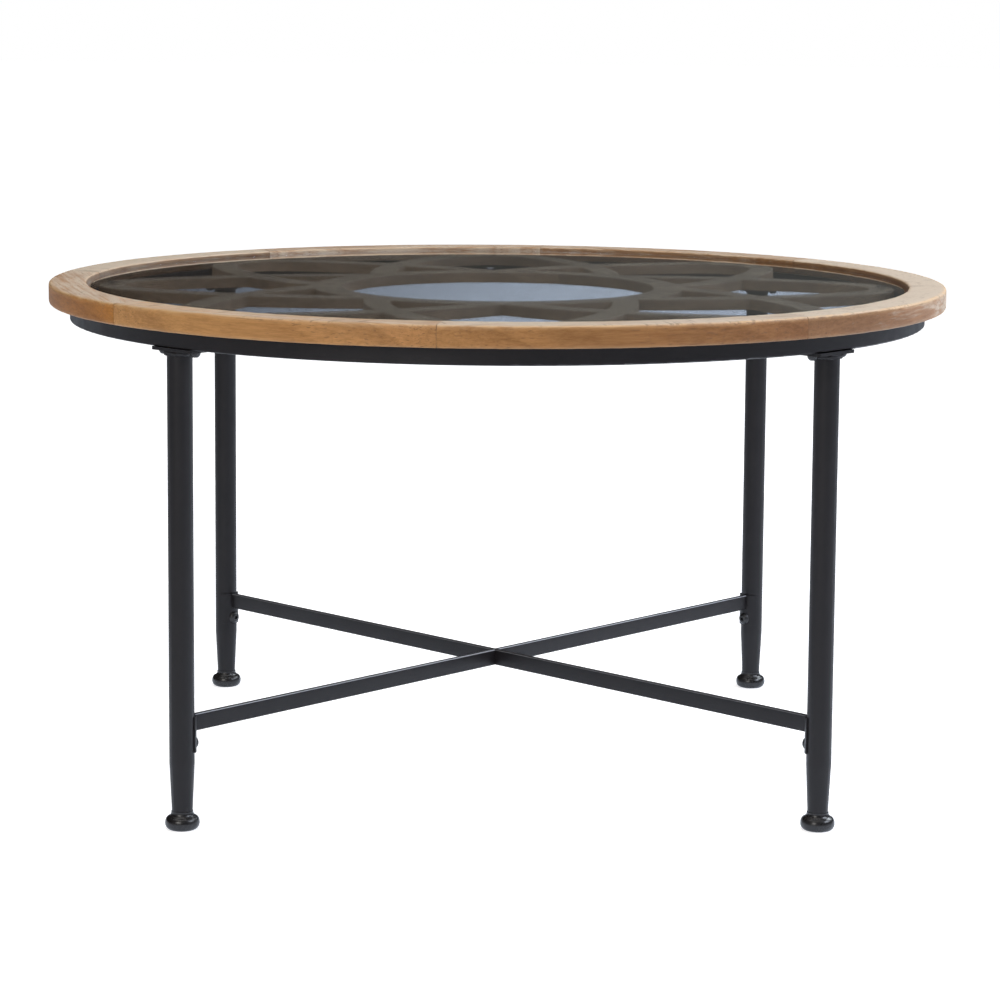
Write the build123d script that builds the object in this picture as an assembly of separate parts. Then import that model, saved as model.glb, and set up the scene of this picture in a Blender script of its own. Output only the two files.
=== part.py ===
from build123d import *
import math
import os

# Round wagon-wheel coffee table: a segmented wooden rim on a black tube frame, four tapered legs
# tied by crossed flat bars, a pierced wooden rosette panel and a loose clear glass disc over it.
# Millimetres, +Z up, origin on the floor at the middle of the table.

# ---- Overall
TABLE_HEIGHT = 496.5
TOP_DIAMETER = 914.4

# ---- Wooden rim, glued up from equal segments
RIM_WIDTH = 38.2
RIM_THICKNESS = 21.0
RIM_SEGMENTS = 8
RIM_FIRST_SEAM = -8.0          # degrees from +X
RIM_TOP_EDGE = 2.6             # chamfer round the outside, top
RIM_BOTTOM_EDGE = 2.0          # chamfer round the outside, bottom
RIM_INNER_EDGE = 2.0           # chamfer round the inside, top

# ---- Glass and the pads that it lies on
GLASS_THICKNESS = 6.0
GLASS_RECESS = 4.6             # how far the glass lies below the top of the rim
GLASS_GAP = 2.5                # all round, between the glass and the rim
GLASS_EDGE = 1.2               # chamfer of the ground edge
PAD_DIAMETER = 10.0
PAD_THICKNESS = 2.0

# ---- Pierced rosette panel under the glass
PANEL_THICKNESS = 11.0
PETALS = 8
HUB_BORE_R = 160.0
HUB_BAND = 30.0
PETAL_BAR = 26.0               # width of every petal's bar
PETAL_FOOT_R = 171.5           # where the middle of a long side starts, in the hub's band
PETAL_TIP_R = 61.0             # radius of the tip, on the middle of the bar
PETAL_SIDE_R = 390.0           # radius of the long sides, on the middle of the bar
PETAL_RUN_IN = 34.0            # how far a long side runs on past its foot, into the hub
PETAL_CORNER_R = 2.5           # cutter radius in every inside corner
PANEL_EDGE = 0.8               # chamfer round the top edges
PANEL_GAP = 7.2                # from a petal's tip to the frame ring

# ---- Frame ring: square steel tube, rolled
RIM_OVERHANG = 21.0            # from the frame ring to the outside of the rim
FRAME_WIDTH = 20.0
FRAME_HEIGHT = 17.3
FRAME_WALL = 1.6
FRAME_CORNER_R = 1.5

# ---- Legs: round tube, swaged at the foot
LEG_COUNT = 4
LEG_DIAMETER = 24.0
LEG_END_DIAMETER = 19.6
LEG_WALL = 1.5
TAPER_TOP_Z = 64.0
TAPER_END_Z = 17.0

# ---- Plate welded to the top of each leg
PLATE_LENGTH = 55.0
PLATE_WIDTH = 24.0
PLATE_THICKNESS = 3.0
PLATE_CORNER_R = 3.0
PLATE_BOLT_SPACING = 44.0
WELD_SIZE = 3.0

# ---- Foot caps
FOOT_HEIGHT = 16.5
FOOT_DIAMETER = 32.8
FOOT_BASE_DIAMETER = 23.0
FOOT_BELLY_Z = 7.6             # height of the widest part
FOOT_NECK_WALL = 1.1
FOOT_SOLE = 5.0                # solid height under the socket
FOOT_CLEARANCE = 0.05          # on the radius, between the leg and the socket

# ---- Crossed stretcher bars
BAR_HEIGHT = 16.2
BAR_THICKNESS = 5.0
BAR_TOP_Z = 108.5
LAP_CLEARANCE = 0.2            # total, across the half-lap

# ---- Saddle tabs that hold the bars to the legs
TAB_HEIGHT = 34.4
TAB_THICKNESS = 1.8
TAB_WRAP = 124.0               # degrees of the leg that a tab covers
TAB_BOLT_DROP = 11.0           # from the bar's underside down to the bolt
TAB_SPOTFACE = 0.6             # depth of the flat under the bolt's head
SPOTFACE_MARGIN = 0.2          # round the bolt's head

# ---- Button-head bolts, M6
BOLT_DIAMETER = 6.0
BOLT_HOLE = 6.6
PLATE_HEAD_DIAMETER = 10.5
PLATE_HEAD_HEIGHT = 4.4
PLATE_HEAD_FACE = 5.8          # diameter of the flat at the top of the dome
TAB_HEAD_DIAMETER = 13.0
TAB_HEAD_HEIGHT = 4.0
TAB_HEAD_FACE = 7.0
BOLT_SOCKET = 4.0              # across the flats
BOLT_SOCKET_DEPTH = 2.0
PLATE_BOLT_LENGTH = 12.0
TAB_BOLT_LENGTH = 14.0
THREAD_CLEARANCE = 0.1         # on the radius, between a thread and its nut

# ---- Nuts and inserts, M6
NUT_FLATS = 10.0
NUT_HEIGHT = 5.0
INSERT_DIAMETER = 9.0
INSERT_LENGTH = 11.0

# ---- Pan-head wood screws
SCREW_DIAMETER = 4.0
SCREW_HOLE = 4.6
SCREW_HEAD_DIAMETER = 8.0
SCREW_HEAD_HEIGHT = 2.6
SCREW_FACE_DIAMETER = 6.4      # flat face of the pan head
SCREW_POINT = 2.5              # length of the cone at the end
SCREW_SLOT = 1.1               # width of the cross recess
SCREW_SLOT_LENGTH = 4.4
SCREW_SLOT_DEPTH = 1.2
PILOT_CLEARANCE = 0.05         # on the radius, between a screw and its pilot hole
PILOT_DEPTH = 1.0              # of a pilot hole, past the screw's point
RIM_SCREW_BITE = 15.0          # length of screw in the rim
RIM_SCREW_SPREAD = 18.0        # degrees between the two screws of a segment
RIM_SCREW_ACCESS = 10.0        # diameter of the driver's hole in the tube's lower wall
PANEL_SCREW_BITE = 7.5         # length of screw in the panel

# ---- Brackets welded inside the ring, one under each petal
BRACKET_REACH = 30.0
BRACKET_WIDTH = 24.0
BRACKET_THICKNESS = 3.0
BRACKET_CORNER_R = 4.0

# ---- How far a cutting tool runs out past the face that it cuts
CUT_RUN = 2.0

# ---- Heights that follow, from the top down
RIM_BOTTOM = TABLE_HEIGHT - RIM_THICKNESS
FRAME_BOTTOM = RIM_BOTTOM - FRAME_HEIGHT
LEG_TOP = FRAME_BOTTOM - PLATE_THICKNESS
GLASS_BOTTOM = TABLE_HEIGHT - GLASS_RECESS - GLASS_THICKNESS
PANEL_TOP = GLASS_BOTTOM - PAD_THICKNESS
PANEL_BOTTOM = PANEL_TOP - PANEL_THICKNESS
BRACKET_BOTTOM = PANEL_BOTTOM - BRACKET_THICKNESS
BAR_BOTTOM_Z = BAR_TOP_Z - BAR_HEIGHT
TAB_BOTTOM_Z = BAR_TOP_Z - TAB_HEIGHT
TAB_BOLT_Z = BAR_BOTTOM_Z - TAB_BOLT_DROP

# ---- Radii that follow, from the outside in
TOP_R = TOP_DIAMETER / 2
RIM_INNER_R = TOP_R - RIM_WIDTH
GLASS_R = RIM_INNER_R - GLASS_GAP
FRAME_OUTER_R = TOP_R - RIM_OVERHANG
FRAME_INNER_R = FRAME_OUTER_R - FRAME_WIDTH
FRAME_MID_R = FRAME_OUTER_R - FRAME_WIDTH / 2
PETAL_END_MID_R = FRAME_INNER_R - PANEL_GAP - PETAL_BAR / 2
HUB_OUTER_R = HUB_BORE_R + HUB_BAND
LEG_R = LEG_DIAMETER / 2
LEG_END_R = LEG_END_DIAMETER / 2
TAB_OUTER_R = LEG_R + TAB_THICKNESS
TAB_SEAT_R = TAB_OUTER_R - TAB_SPOTFACE

# ---- Directions, in degrees from +X
SEGMENT_ANGLE = 360 / RIM_SEGMENTS
PETAL_ANGLE = 360 / PETALS
PETAL_ANGLES = [PETAL_ANGLE * i for i in range(PETALS)]
LEG_ANGLES = [45 + 360 / LEG_COUNT * i for i in range(LEG_COUNT)]
LEG_NAMES = ["back_right", "back_left", "front_left", "front_right"]
LEG_BOLT_STEP = math.degrees(math.atan2(PLATE_BOLT_SPACING / 2, FRAME_MID_R))


def at(radius, angle, height=0.0):
    """A place at this radius and direction, with its own X pointing away from the table's axis."""
    return Rot(0, 0, angle) * Pos(radius, 0, height)


def rod(diameter, bottom, top):
    """An upright cylinder on the Z axis between two heights."""
    base = (Align.CENTER, Align.CENTER, Align.MIN)
    return Pos(0, 0, bottom) * Cylinder(diameter / 2, top - bottom, align=base)


def block(length, width, bottom, top):
    """An upright block on the Z axis between two heights."""
    base = (Align.CENTER, Align.CENTER, Align.MIN)
    return Pos(0, 0, bottom) * Box(length, width, top - bottom, align=base)


def spun(lines, angle=360):
    """A solid of revolution about Z from a closed outline drawn in radius and height."""
    return revolve(Plane.XZ * make_face(lines), Axis.Z, angle)


def group(solids):
    """Separate solids kept together in one node."""
    return Compound(children=[Solid(s.solid().wrapped) for s in solids])


# ---- Fasteners, each upright with its seat at z = 0, its head below and its shank above

def domed_head(diameter, height, face):
    """A head with a rounded side, its seat at z = 0 and its flat face at the bottom."""
    head_r = diameter / 2
    face_r = face / 2
    side = TangentArc((head_r, 0), (face_r, -height), tangent=(0, -1))
    return spun(side + Polyline((face_r, -height), (0, -height), (0, 0), (head_r, 0)))


def button_bolt(length, diameter, height, face):
    """Button-head bolt with a hexagon socket; the last three are its head's sizes."""
    head = domed_head(diameter, height, face)
    hexagon = RegularPolygon(BOLT_SOCKET / 2, 6, major_radius=False)
    socket = extrude(Plane.XY.offset(-height) * hexagon, BOLT_SOCKET_DEPTH)
    return head - socket + rod(BOLT_DIAMETER, 0, length)


def pan_screw(length):
    """Pan-head wood screw with a cross recess and a pointed end; its length includes the point."""
    head = domed_head(SCREW_HEAD_DIAMETER, SCREW_HEAD_HEIGHT, SCREW_FACE_DIAMETER)
    recess_top = SCREW_SLOT_DEPTH - SCREW_HEAD_HEIGHT
    for size in ((SCREW_SLOT_LENGTH, SCREW_SLOT), (SCREW_SLOT, SCREW_SLOT_LENGTH)):
        head -= block(*size, -SCREW_HEAD_HEIGHT, recess_top)
    screw_r = SCREW_DIAMETER / 2
    shank = spun(Polyline((0, 0), (screw_r, 0), (screw_r, length - SCREW_POINT), (0, length), (0, 0)))
    return head + shank


def nut(height):
    """Plain hexagon nut, standing on z = 0."""
    hexagon = extrude(RegularPolygon(NUT_FLATS / 2, 6, major_radius=False), height)
    return hexagon - rod(BOLT_DIAMETER + 2 * THREAD_CLEARANCE, -CUT_RUN, height + CUT_RUN)


# ---- Rim

def rim_screw_angles(segment):
    """Directions of the two screws that hold one segment."""
    middle = RIM_FIRST_SEAM + (segment + 0.5) * SEGMENT_ANGLE
    return [middle - RIM_SCREW_SPREAD / 2, middle + RIM_SCREW_SPREAD / 2]


def rim_segment(segment):
    """One glued segment of the rim, with the pilot holes of its screws."""
    section = Polyline(
        (RIM_INNER_R, RIM_BOTTOM),
        (TOP_R - RIM_BOTTOM_EDGE, RIM_BOTTOM),
        (TOP_R, RIM_BOTTOM + RIM_BOTTOM_EDGE),
        (TOP_R, TABLE_HEIGHT - RIM_TOP_EDGE),
        (TOP_R - RIM_TOP_EDGE, TABLE_HEIGHT),
        (RIM_INNER_R + RIM_INNER_EDGE, TABLE_HEIGHT),
        (RIM_INNER_R, TABLE_HEIGHT - RIM_INNER_EDGE),
        (RIM_INNER_R, RIM_BOTTOM),
    )
    wood = Rot(0, 0, RIM_FIRST_SEAM + segment * SEGMENT_ANGLE) * spun(section, SEGMENT_ANGLE)
    pilot = rod(SCREW_DIAMETER + 2 * PILOT_CLEARANCE, -CUT_RUN, RIM_SCREW_BITE + PILOT_DEPTH)
    for angle in rim_screw_angles(segment):
        wood -= at(FRAME_MID_R, angle, RIM_BOTTOM) * pilot
    return wood


def rim_screws():
    """Screws from inside the frame tube up into the rim, two to a segment."""
    screw = pan_screw(FRAME_WALL + RIM_SCREW_BITE)
    seat = RIM_BOTTOM - FRAME_WALL
    return group(
        at(FRAME_MID_R, angle, seat) * screw
        for segment in range(RIM_SEGMENTS)
        for angle in rim_screw_angles(segment)
    )


# ---- Rosette panel

def petal_side_centre():
    """Centre of a petal's upper side: the arc starts at its foot and runs smoothly into the tip."""
    foot = Vector(PETAL_FOOT_R, 0).rotate(Axis.Z, PETAL_ANGLE)
    tip = Vector(PETAL_END_MID_R - PETAL_TIP_R, 0)
    span = tip - foot
    to_tip = PETAL_SIDE_R - PETAL_TIP_R
    along = (PETAL_SIDE_R ** 2 - to_tip ** 2 + span.length ** 2) / (2 * span.length)
    across = math.sqrt(PETAL_SIDE_R ** 2 - along ** 2)
    ahead = span.normalized()
    return foot + ahead * along + Vector(ahead.Y, -ahead.X) * across


def petal():
    """One petal's bar, pointing along +X, from its foot on the hub round the tip and back."""
    centre = petal_side_centre()
    foot = Vector(PETAL_FOOT_R, 0).rotate(Axis.Z, PETAL_ANGLE) - centre
    tip = Vector(PETAL_END_MID_R - PETAL_TIP_R, 0)
    end_angle = math.degrees(math.atan2(foot.Y, foot.X) + PETAL_RUN_IN / PETAL_SIDE_R)
    join_angle = math.degrees(math.atan2(tip.Y - centre.Y, tip.X - centre.X))
    lines = []
    for aside in (-PETAL_BAR / 2, PETAL_BAR / 2):
        side = CenterArc(centre, PETAL_SIDE_R + aside, join_angle, end_angle - join_angle)
        lines += [side, mirror(side, Plane.XZ)]
        lines += [CenterArc(tip, PETAL_TIP_R + aside, -join_angle, 2 * join_angle)]
    ends = [line @ 1 for line in (lines[0], lines[3])]
    cut = Line(*ends)
    return make_face([edge for line in lines + [cut, mirror(cut, Plane.XZ)] for edge in line.edges()])


def routed(flat):
    """Rounds every inside corner, as the router's cutter leaves it."""
    return offset(offset(flat, PETAL_CORNER_R), -PETAL_CORNER_R)


def lattice_panel():
    """Pierced panel: a round hub and petals whose bars cross their neighbours'."""
    flat = Circle(HUB_OUTER_R)
    for angle in PETAL_ANGLES:
        flat += Rot(0, 0, angle) * petal()
    flat = routed(flat - Circle(HUB_BORE_R))
    panel = extrude(Pos(0, 0, PANEL_BOTTOM) * flat, PANEL_THICKNESS)
    panel = chamfer(panel.edges().group_by(Axis.Z)[-1], PANEL_EDGE)
    pilot = rod(SCREW_DIAMETER + 2 * PILOT_CLEARANCE, -CUT_RUN, PANEL_SCREW_BITE + PILOT_DEPTH)
    for angle in PETAL_ANGLES:
        panel -= at(PETAL_END_MID_R, angle, PANEL_BOTTOM) * pilot
    return panel


def lattice_screws():
    """Screws from below through each bracket into the panel."""
    screw = pan_screw(BRACKET_THICKNESS + PANEL_SCREW_BITE)
    return group(at(PETAL_END_MID_R, angle, BRACKET_BOTTOM) * screw for angle in PETAL_ANGLES)


def lattice_bracket():
    """Flat steel tab along +X that ends against the inside of the frame ring."""
    inner_end = FRAME_INNER_R - BRACKET_REACH
    tab = Pos(inner_end, 0) * Rectangle(2 * BRACKET_REACH, BRACKET_WIDTH, align=(Align.MIN, Align.CENTER))
    tab = fillet(tab.vertices().group_by(Axis.X)[0], BRACKET_CORNER_R)
    tab &= Circle(FRAME_INNER_R)
    tab -= Pos(PETAL_END_MID_R, 0) * Circle(SCREW_HOLE / 2)
    return extrude(Pos(0, 0, BRACKET_BOTTOM) * tab, BRACKET_THICKNESS)


# ---- Glass

def glass_top():
    """Loose glass disc with a ground edge."""
    disc = rod(2 * GLASS_R, GLASS_BOTTOM, GLASS_BOTTOM + GLASS_THICKNESS)
    return chamfer(disc.edges(), GLASS_EDGE)


def glass_pads():
    """Clear pads on the tips of the petals, which carry the glass."""
    pad = rod(PAD_DIAMETER, PANEL_TOP, GLASS_BOTTOM)
    return group(at(PETAL_END_MID_R, angle) * pad for angle in PETAL_ANGLES)


# ---- Frame ring

def leg_bolt_angles():
    """Directions of the bolts that hold the leg plates."""
    return [angle + step for angle in LEG_ANGLES for step in (-LEG_BOLT_STEP, LEG_BOLT_STEP)]


def leg_bolt_radius():
    """Distance of those bolts from the table's axis."""
    return math.hypot(FRAME_MID_R, PLATE_BOLT_SPACING / 2)


def frame_ring():
    """Rolled tube ring, drilled for the rim's screws and the legs' bolts."""
    tube = RectangleRounded(FRAME_WIDTH, FRAME_HEIGHT, FRAME_CORNER_R)
    tube -= Rectangle(FRAME_WIDTH - 2 * FRAME_WALL, FRAME_HEIGHT - 2 * FRAME_WALL)
    middle = FRAME_BOTTOM + FRAME_HEIGHT / 2
    ring = revolve(Plane.XZ * (Pos(FRAME_MID_R, middle) * tube), Axis.Z)
    access = rod(RIM_SCREW_ACCESS, FRAME_BOTTOM - CUT_RUN, FRAME_BOTTOM + FRAME_WALL + CUT_RUN)
    passage = rod(SCREW_HOLE, RIM_BOTTOM - FRAME_WALL - CUT_RUN, RIM_BOTTOM + CUT_RUN)
    for segment in range(RIM_SEGMENTS):
        for angle in rim_screw_angles(segment):
            ring -= at(FRAME_MID_R, angle) * access
            ring -= at(FRAME_MID_R, angle) * passage
    bolt_hole = rod(BOLT_HOLE, FRAME_BOTTOM - CUT_RUN, FRAME_BOTTOM + FRAME_WALL + CUT_RUN)
    for angle in leg_bolt_angles():
        ring -= at(leg_bolt_radius(), angle) * bolt_hole
    return ring


# ---- Legs, each on the Z axis with the table's axis on its -X side until it is placed

def leg_tube():
    """Round tube, tapered to the foot, with the hole for its stretcher insert."""
    outline = Polyline(
        (LEG_R - LEG_WALL, LEG_TOP),
        (LEG_R, LEG_TOP),
        (LEG_R, TAPER_TOP_Z),
        (LEG_END_R, TAPER_END_Z),
        (LEG_END_R, FOOT_SOLE),
        (LEG_END_R - LEG_WALL, FOOT_SOLE),
        (LEG_END_R - LEG_WALL, TAPER_END_Z),
        (LEG_R - LEG_WALL, TAPER_TOP_Z),
        (LEG_R - LEG_WALL, LEG_TOP),
    )
    hole = Pos(0, 0, TAB_BOLT_Z) * Rot(0, -90, 0) * rod(INSERT_DIAMETER, 0, LEG_R + CUT_RUN)
    return spun(outline) - hole


def leg_plate():
    """Bolting plate on top of a leg, its length along the ring."""
    flat = RectangleRounded(PLATE_WIDTH, PLATE_LENGTH, PLATE_CORNER_R)
    for side in (-1, 1):
        flat -= Pos(0, side * PLATE_BOLT_SPACING / 2) * Circle(BOLT_HOLE / 2)
    return extrude(Pos(0, 0, LEG_TOP) * flat, PLATE_THICKNESS)


def leg_welds():
    """Fillet welds between a leg and the parts of its plate that stand clear of it."""
    outline = Polyline(
        (LEG_R, LEG_TOP), (LEG_R + WELD_SIZE, LEG_TOP), (LEG_R, LEG_TOP - WELD_SIZE), (LEG_R, LEG_TOP)
    )
    bead = spun(outline) & block(PLATE_WIDTH, PLATE_LENGTH, LEG_TOP - WELD_SIZE, LEG_TOP)
    return bead.solids()


def leg_insert():
    """Threaded insert in a leg, trimmed flush with the outside of the tube."""
    along = Pos(-LEG_R, 0, TAB_BOLT_Z) * Rot(0, 90, 0)
    body = along * rod(INSERT_DIAMETER, 0, INSERT_LENGTH)
    body -= along * rod(BOLT_DIAMETER + 2 * THREAD_CLEARANCE, -CUT_RUN, INSERT_LENGTH + CUT_RUN)
    return body & rod(LEG_DIAMETER, TAB_BOLT_Z - INSERT_DIAMETER, TAB_BOLT_Z + INSERT_DIAMETER)


def saddle_tab():
    """Curved tab on the inner side of a leg, with a flat for the bolt's head."""
    section = Polyline(
        (LEG_R, TAB_BOTTOM_Z), (TAB_OUTER_R, TAB_BOTTOM_Z), (TAB_OUTER_R, BAR_TOP_Z),
        (LEG_R, BAR_TOP_Z), (LEG_R, TAB_BOTTOM_Z),
    )
    tab = Rot(0, 0, 180 - TAB_WRAP / 2) * spun(section, TAB_WRAP)
    along = Pos(0, 0, TAB_BOLT_Z) * Rot(0, -90, 0)
    tab -= along * rod(TAB_HEAD_DIAMETER + 2 * SPOTFACE_MARGIN, TAB_SEAT_R, TAB_OUTER_R + CUT_RUN)
    return tab - along * rod(BOLT_HOLE, 0, TAB_OUTER_R + CUT_RUN)


def tab_bolt():
    """Bolt through a tab into the leg's insert."""
    bolt = button_bolt(TAB_BOLT_LENGTH, TAB_HEAD_DIAMETER, TAB_HEAD_HEIGHT, TAB_HEAD_FACE)
    return Pos(-TAB_SEAT_R, 0, TAB_BOLT_Z) * Rot(0, 90, 0) * bolt


def foot():
    """Turned cap with a socket for the end of the leg."""
    belly = (FOOT_DIAMETER / 2, FOOT_BELLY_Z)
    base = (FOOT_BASE_DIAMETER / 2, 0)
    socket_r = LEG_END_R + FOOT_CLEARANCE
    neck = (socket_r + FOOT_NECK_WALL, FOOT_HEIGHT)
    shoulder = ((belly[0] + neck[0]) / 2, (belly[1] + neck[1]) / 2)
    outline = (
        TangentArc(belly, base, tangent=(0, -1))
        + TangentArc(belly, shoulder, tangent=(0, 1))
        + TangentArc(neck, shoulder, tangent=(0, -1))
        + Polyline(neck, (socket_r, FOOT_HEIGHT), (socket_r, FOOT_SOLE), (0, FOOT_SOLE), (0, 0), base)
    )
    return spun(outline)


# ---- Stretcher bars

def stretcher_bar(angle, notch_from_top):
    """Flat bar on edge between the tabs of two opposite legs, half-lapped at the middle."""
    bar = block(2 * FRAME_MID_R, BAR_THICKNESS, BAR_BOTTOM_Z, BAR_TOP_Z)
    for end in (-1, 1):
        tab_face = rod(2 * TAB_OUTER_R, BAR_BOTTOM_Z - CUT_RUN, BAR_TOP_Z + CUT_RUN)
        bar -= Pos(end * FRAME_MID_R, 0, 0) * tab_face
    middle = BAR_BOTTOM_Z + BAR_HEIGHT / 2
    low, high = (middle, BAR_TOP_Z + CUT_RUN) if notch_from_top else (BAR_BOTTOM_Z - CUT_RUN, middle)
    bar -= block(BAR_THICKNESS + LAP_CLEARANCE, BAR_THICKNESS + CUT_RUN, low, high)
    return Rot(0, 0, angle) * bar


# ---- The whole table, node by node

def nodes():
    """Every node's name and shape."""
    made = {f"rim_segment_{i + 1}": rim_segment(i) for i in range(RIM_SEGMENTS)}
    made["rim_screws"] = rim_screws()
    made["glass_top"] = glass_top()
    made["glass_pads"] = glass_pads()
    made["lattice_panel"] = lattice_panel()
    made["lattice_brackets"] = group(Rot(0, 0, angle) * lattice_bracket() for angle in PETAL_ANGLES)
    made["lattice_screws"] = lattice_screws()
    made["frame_ring"] = frame_ring()
    for name, angle in zip(LEG_NAMES, LEG_ANGLES):
        place = at(FRAME_MID_R, angle)
        made[f"leg_{name}"] = place * leg_tube()
        made[f"leg_plate_{name}"] = place * leg_plate()
        made[f"saddle_tab_{name}"] = place * saddle_tab()
        made[f"foot_{name}"] = place * foot()
    places = [at(FRAME_MID_R, angle) for angle in LEG_ANGLES]
    made["leg_welds"] = group(place * weld for place in places for weld in leg_welds())
    made["leg_inserts"] = group(place * leg_insert() for place in places)
    made["stretcher_bolts"] = group(place * tab_bolt() for place in places)
    bolt = button_bolt(PLATE_BOLT_LENGTH, PLATE_HEAD_DIAMETER, PLATE_HEAD_HEIGHT, PLATE_HEAD_FACE)
    bolt_places = [(leg_bolt_radius(), angle) for angle in leg_bolt_angles()]
    made["plate_bolts"] = group(at(*place, LEG_TOP) * bolt for place in bolt_places)
    nut_seat = FRAME_BOTTOM + FRAME_WALL
    made["plate_nuts"] = group(at(*place, nut_seat) * nut(NUT_HEIGHT) for place in bolt_places)
    made["stretcher_bar_lower"] = stretcher_bar(LEG_ANGLES[0], notch_from_top=True)
    made["stretcher_bar_upper"] = stretcher_bar(LEG_ANGLES[1], notch_from_top=False)
    return made


os.makedirs("parts", exist_ok=True)
for name, shape in nodes().items():
    export_step(shape, f"parts/{name}.step")
    print(name)
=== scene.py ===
import bmesh
import bpy
import math
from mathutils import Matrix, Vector


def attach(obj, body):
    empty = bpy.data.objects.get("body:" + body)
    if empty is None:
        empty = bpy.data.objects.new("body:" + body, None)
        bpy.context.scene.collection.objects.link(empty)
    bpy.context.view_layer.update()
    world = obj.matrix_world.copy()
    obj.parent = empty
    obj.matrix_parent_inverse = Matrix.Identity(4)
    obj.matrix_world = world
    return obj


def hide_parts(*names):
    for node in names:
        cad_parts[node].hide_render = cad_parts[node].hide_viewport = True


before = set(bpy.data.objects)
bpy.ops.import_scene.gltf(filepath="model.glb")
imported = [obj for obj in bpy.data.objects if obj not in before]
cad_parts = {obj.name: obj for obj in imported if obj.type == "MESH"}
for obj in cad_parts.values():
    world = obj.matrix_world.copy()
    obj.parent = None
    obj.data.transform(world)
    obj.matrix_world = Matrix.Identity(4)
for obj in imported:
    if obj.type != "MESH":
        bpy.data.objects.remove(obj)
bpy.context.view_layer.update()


# ---------------------------------------------------------------- camera
# A long lens three metres from the table and a little above its top, looking down by seven
# degrees. The small shift sets the table in the middle of the frame.

LENS_LENGTH = 106.92               # millimetres, as is the sensor
SENSOR_WIDTH = 36.0
LENS_SHIFT = -0.12                 # share of the frame
VIEW_DEPTH = 200.0
CAMERA_PLACE = (-0.0673, -3.0457, 0.7703)
CAMERA_TURN = (82.9163, -0.4333, -1.2714)      # degrees

lens = bpy.data.cameras.new("camera")
lens.lens = LENS_LENGTH
lens.sensor_width = SENSOR_WIDTH
lens.shift_y = LENS_SHIFT
lens.clip_end = VIEW_DEPTH
camera = bpy.data.objects.new("camera", lens)
camera.location = CAMERA_PLACE
camera.rotation_euler = [math.radians(degrees) for degrees in CAMERA_TURN]
bpy.context.scene.collection.objects.link(camera)
bpy.context.scene.camera = camera
bpy.context.scene.view_settings.view_transform = "Standard"


# ---------------------------------------------------------------- floor, backdrop and lamps
# A pale seamless floor, a low white surround that ends a little above eye level, and a dark
# studio over it. Two cool lamps stand to the right, before and behind, a wide one hangs overhead
# and a warmer one fills from the front.

FLOOR_RADIUS = 40.0
FLOOR_SIDES = 96
FLOOR_PAPER = (0.80, 0.80, 0.81, 1.0)
FLOOR_SEEN = (1.0, 1.0, 1.0, 1.0)
FLOOR_BEYOND = (1.04, 1.20, 1.46, 1.0)        # in a gloss and through the glass
BEYOND_LEFT, BEYOND_RIGHT = 0.30, 1.05        # how bright it is through the glass
BEYOND_FROM, BEYOND_TO = -0.9, 0.45           # metres along X, from the one to the other
GLOW_NEAR, GLOW_FAR = 0.74, 1.0               # how bright the floor is when seen
GLOW_FROM, GLOW_TO = 0.55, 2.2                # metres from the table's axis
GLOSS_NEAR, GLOSS_FAR = 0.50, 0.20            # how bright it is in a gloss
GLOSS_FROM, GLOSS_TO = 0.40, 1.6
SURROUND_TOP = math.sin(math.radians(4.36))
SURROUND_FADE = math.sin(math.radians(4.60))
SURROUND_COLOUR = (1.0, 1.0, 1.0, 1.0)
SURROUND_HALF_WIDTH = 0.8                     # sine of the angle from the middle to either colour
SURROUND_LEFT = (0.21, 0.20, 0.20, 1.0)       # in a gloss
SURROUND_RIGHT = (0.24, 0.26, 0.36, 1.0)
STUDIO_LEFT = (0.012, 0.009, 0.007, 1.0)
STUDIO_RIGHT = (0.056, 0.058, 0.055, 1.0)
STUDIO_HALF_WIDTH = 0.15


def node(tree, kind, **values):
    """A new node, with its properties and its unlinked inputs set by name."""
    made = tree.nodes.new("ShaderNode" + kind)
    for name, value in values.items():
        if hasattr(made, name):
            setattr(made, name, value)
        else:
            made.inputs[name.replace("_", " ")].default_value = value
    return made


def put(tree, target, socket, given):
    """Sets a socket to a value, or links it to a (node, socket) pair."""
    if isinstance(given, tuple) and isinstance(given[0], bpy.types.Node):
        tree.links.new(given[0].outputs[given[1]], target.inputs[socket])
    else:
        target.inputs[socket].default_value = given


def calc(tree, operation, a, b=0.0):
    """A sum of two inputs, each a number or a (node, socket) pair."""
    made = node(tree, "Math", operation=operation)
    put(tree, made, 0, a)
    put(tree, made, 1, b)
    return made, "Value"


def mixed(tree, factor, a, b, blend="MIX"):
    """A mix of two colours, each a colour or a (node, socket) pair."""
    made = node(tree, "Mix", data_type="RGBA", blend_type=blend)
    put(tree, made, "Factor", factor)
    put(tree, made, "A", a)
    put(tree, made, "B", b)
    return made, "Result"


def ramp(tree, given, low, high, to_low=0.0, to_high=1.0, smooth=True):
    """Maps a value from one range to another and stops at its ends."""
    made = node(tree, "MapRange", interpolation_type="SMOOTHSTEP" if smooth else "LINEAR")
    for name, value in zip(("Value", "From Min", "From Max", "To Min", "To Max"),
                           (given, low, high, to_low, to_high)):
        put(tree, made, name, value)
    return made, "Result"


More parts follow.
